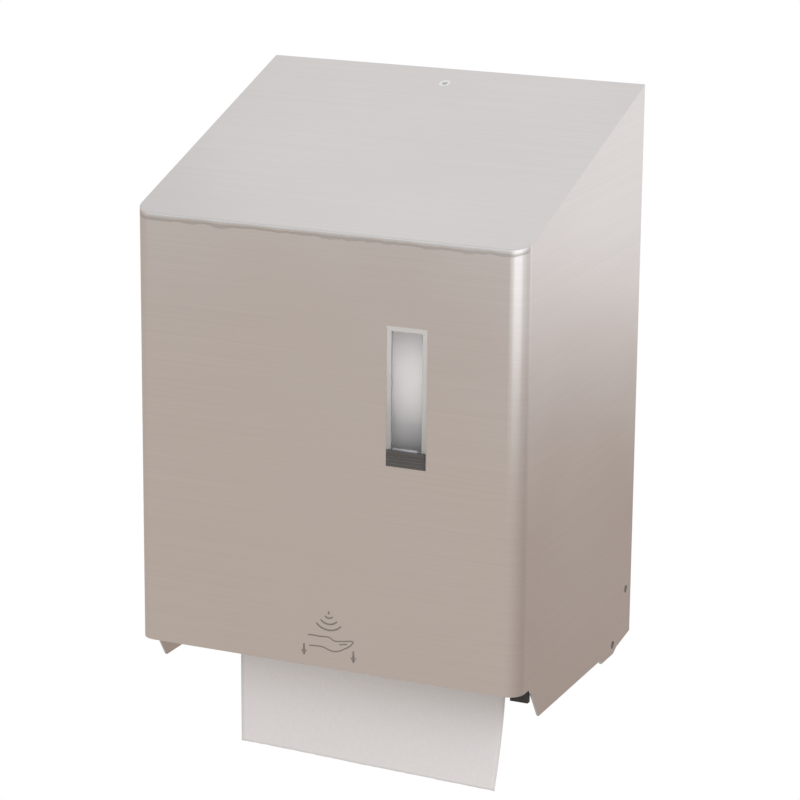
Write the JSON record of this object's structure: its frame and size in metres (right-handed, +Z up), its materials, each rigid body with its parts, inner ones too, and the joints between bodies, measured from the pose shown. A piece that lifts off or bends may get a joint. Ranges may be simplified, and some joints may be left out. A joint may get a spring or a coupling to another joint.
{
  "type": "roll towel dispenser",
  "caption": "Wall dispenser that feeds paper towel from a roll when a hand is sensed, with a sloped stainless hood hinged at its foot over a motor driven roller unit.",
  "frame": {"origin": "on the wall plane at the centre line, level with the lower edge of the front panel", "axes": "+Y into the wall, so the front faces -Y; +Z up; +X to the right seen from the front"},
  "size_m": [0.3, 0.2342, 0.4862],
  "materials": {
    "stainless": "brushed stainless sheet",
    "pin_steel": "turned steel",
    "screw_steel": "zinc plated",
    "spring_steel": "drawn wire",
    "blade_steel": "stamped stainless",
    "contact_metal": "nickel plated",
    "motor_can": "plated can",
    "brass": "cut brass",
    "black_plastic": "fine moulded texture",
    "clip_plastic": "dark glossy moulding",
    "sensor_plastic": "glossy moulding",
    "lens_plastic": "dark red infrared lens",
    "clear_plastic": "clear pane",
    "frost_plastic": "translucent pale moulding",
    "white_plastic": "white nylon",
    "grey_plastic": "natural acetal",
    "button_plastic": "pale grey caps",
    "rubber": "ground rubber",
    "board_green": "solder mask",
    "board_parts": "moulded packages",
    "cell_wrap": "plain wrapped can",
    "paper": "white tissue paper",
    "cardboard": "wound board"
  },
  "bodies": {
    "chassis": {"back_plate": "stainless", "left_hinge_bracket": "stainless", "right_hinge_bracket": "stainless", "hinge_pins": "pin_steel", "fixing_screws": "screw_steel", "latch_housing": "black_plastic", "latch_spring": "spring_steel", "left_cheek": "black_plastic", "right_cheek": "black_plastic", "drive_bed": "black_plastic", "cross_bar": "black_plastic", "tear_bar": "blade_steel", "drive_bearings": "grey_plastic", "idler_post": "pin_steel", "motor": "motor_can", "gear_cover": "black_plastic", "flap_springs": "spring_steel", "sensor_housing": "sensor_plastic", "sensor_lenses": "lens_plastic", "switch_block": "board_green", "circuit_board": "board_green", "board_parts": "board_parts", "battery_box": "black_plastic", "battery_cells": "cell_wrap", "battery_contacts": "contact_metal", "left_arm": "black_plastic", "arm_bracket": "stainless", "arm_pin": "pin_steel", "arm_spring": "spring_steel", "paper_web": "paper", "paper_tail": "paper"},
    "hood": {"hood_wrap": "stainless", "hood_top": "stainless", "hood_strike": "stainless", "key_bush": "white_plastic", "stop_pins": "pin_steel", "window_frame": "frost_plastic", "window_pane": "clear_plastic", "window_clip": "clip_plastic"},
    "roll": {"paper_roll": "paper", "roll_core": "cardboard", "left_hub": "white_plastic"},
    "drive_roller": {"drive_shaft": "pin_steel", "drive_core": "black_plastic", "drive_sleeves": "rubber", "drive_gear": "grey_plastic"},
    "idler": {"idler_gear": "white_plastic"},
    "motor_pinion": {"pinion": "brass"},
    "flap": {"flap_cover": "black_plastic"},
    "pressure_roller": {"pressure_shaft": "pin_steel", "pressure_sleeves": "rubber"},
    "loading_arm": {"right_arm": "black_plastic"},
    "hub_plug": {"right_hub": "white_plastic"},
    "latch": {"latch_plunger": "grey_plastic"},
    "battery_door": {"battery_lid": "black_plastic"},
    "feed_key": {"feed_button": "button_plastic"},
    "mode_slider": {"mode_switch": "button_plastic"}
  },
  "joints": [
    {"name": "hood_hinge", "type": "hinge", "parent": "chassis", "child": "hood", "pos_m": [0, -0.0395, -0.0225], "axis": [1, 0, 0], "range_deg": [0, 70]},
    {"name": "roll_spin", "type": "hinge", "parent": "chassis", "child": "roll", "pos_m": [0, -0.118, 0.195], "axis": [1, 0, 0], "continuous": true},
    {"name": "drive_spin", "type": "hinge", "parent": "chassis", "child": "drive_roller", "pos_m": [0, -0.1726, 0.035], "axis": [1, 0, 0], "continuous": true},
    {"name": "idler_spin", "type": "hinge", "parent": "chassis", "child": "idler", "pos_m": [-0.108, -0.1336, 0.035], "axis": [1, 0, 0], "continuous": true},
    {"name": "pinion_spin", "type": "hinge", "parent": "chassis", "child": "motor_pinion", "pos_m": [-0.108, -0.1126, 0.035], "axis": [1, 0, 0], "continuous": true},
    {"name": "flap_hinge", "type": "hinge", "parent": "chassis", "child": "flap", "pos_m": [0.017, -0.203, 0.064], "axis": [-1, 0, 0], "range_deg": [0, 20], "stiffness_Nm_per_rad": 0.6, "springref_deg": -11.46},
    {"name": "pressure_spin", "type": "hinge", "parent": "flap", "child": "pressure_roller", "pos_m": [0.017, -0.1965, 0.035], "axis": [1, 0, 0], "continuous": true},
    {"name": "arm_swing", "type": "hinge", "parent": "chassis", "child": "loading_arm", "pos_m": [0.129, -0.014, 0.195], "axis": [0, 0, 1], "range_deg": [0, 5.5], "stiffness_Nm_per_rad": 2, "springref_deg": -5.73},
    {"name": "hub_spin", "type": "hinge", "parent": "loading_arm", "child": "hub_plug", "pos_m": [0.12, -0.118, 0.195], "axis": [1, 0, 0], "continuous": true},
    {"name": "latch_slide", "type": "slide", "parent": "chassis", "child": "latch", "axis": [0, 0, 1], "range_m": [0, 0.006], "stiffness_N_per_m": 300, "springref_m": 0.009, "deforming": ["latch_spring"]},
    {"name": "battery_lid_hinge", "type": "hinge", "parent": "chassis", "child": "battery_door", "pos_m": [0.045, -0.0424, 0.0085], "axis": [1, 0, 0], "range_deg": [0, 70]},
    {"name": "feed_press", "type": "slide", "parent": "chassis", "child": "feed_key", "axis": [0, 1, 0], "range_m": [0, 0.0015], "stiffness_N_per_m": 400, "springref_m": -0.001},
    {"name": "mode_slide", "type": "slide", "parent": "chassis", "child": "mode_slider", "axis": [1, 0, 0], "range_m": [0, 0.005]}
  ],
  "couplings": [
    {"joint": "drive_spin", "follows": "roll_spin", "ratio": -6.7857},
    {"joint": "idler_spin", "follows": "roll_spin", "ratio": 10.857},
    {"joint": "pinion_spin", "follows": "roll_spin", "ratio": -27.143},
    {"joint": "pressure_spin", "follows": "roll_spin", "ratio": 10.556},
    {"joint": "hub_spin", "follows": "roll_spin", "ratio": 1}
  ]
}
